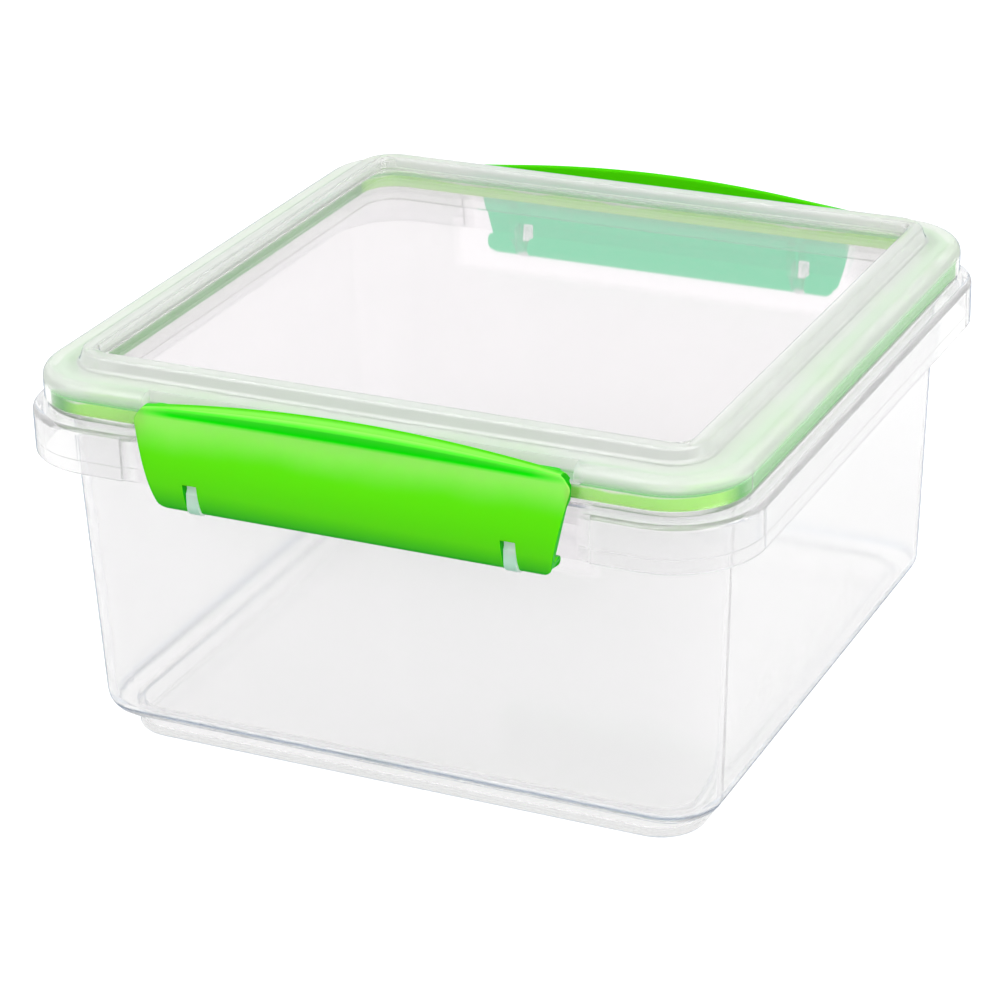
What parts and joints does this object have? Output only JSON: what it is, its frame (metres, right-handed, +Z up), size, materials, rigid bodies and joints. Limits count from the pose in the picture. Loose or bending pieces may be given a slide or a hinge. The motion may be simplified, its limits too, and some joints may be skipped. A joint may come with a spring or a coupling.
{
  "type": "food storage container",
  "caption": "Square clear food keeper with a translucent ridged lid, a soft seal ring and hinged clips at front and rear that hook over the lid.",
  "frame": {"origin": "centre of the overall box, on the plane the foot stands on", "axes": "+Z up, the front clip faces -Y, the rear clip faces +Y, +X to the right when seen from the front"},
  "size_m": [0.16, 0.1632, 0.0878],
  "materials": {
    "clear_base": "clear, polished",
    "clear_lid": "clear with a slight milkiness",
    "seal": "soft silicone",
    "clip": "satin gloss"
  },
  "bodies": {
    "base": {"base": "clear_base"},
    "lid": {"lid": "clear_lid", "seal": "seal"},
    "front_clip": {"front_clip": "clip"},
    "rear_clip": {"rear_clip": "clip"}
  },
  "joints": [
    {"name": "lid_lift", "type": "slide", "parent": "base", "child": "lid", "axis": [0, 0, 1], "range_m": [0, 0.009]},
    {"name": "front_clip_hinge", "type": "hinge", "parent": "base", "child": "front_clip", "pos_m": [0, -0.07822, 0.06385], "axis": [1, 0, 0], "range_deg": [0, 120.1]},
    {"name": "rear_clip_hinge", "type": "hinge", "parent": "base", "child": "rear_clip", "pos_m": [0, 0.07822, 0.06385], "axis": [-1, 0, 0], "range_deg": [0, 120.1]}
  ],
  "couplings": [
    {"joint": "front_clip_hinge", "follows": "lid_lift", "rad_per_m": 232.7},
    {"joint": "rear_clip_hinge", "follows": "lid_lift", "rad_per_m": 232.7}
  ]
}
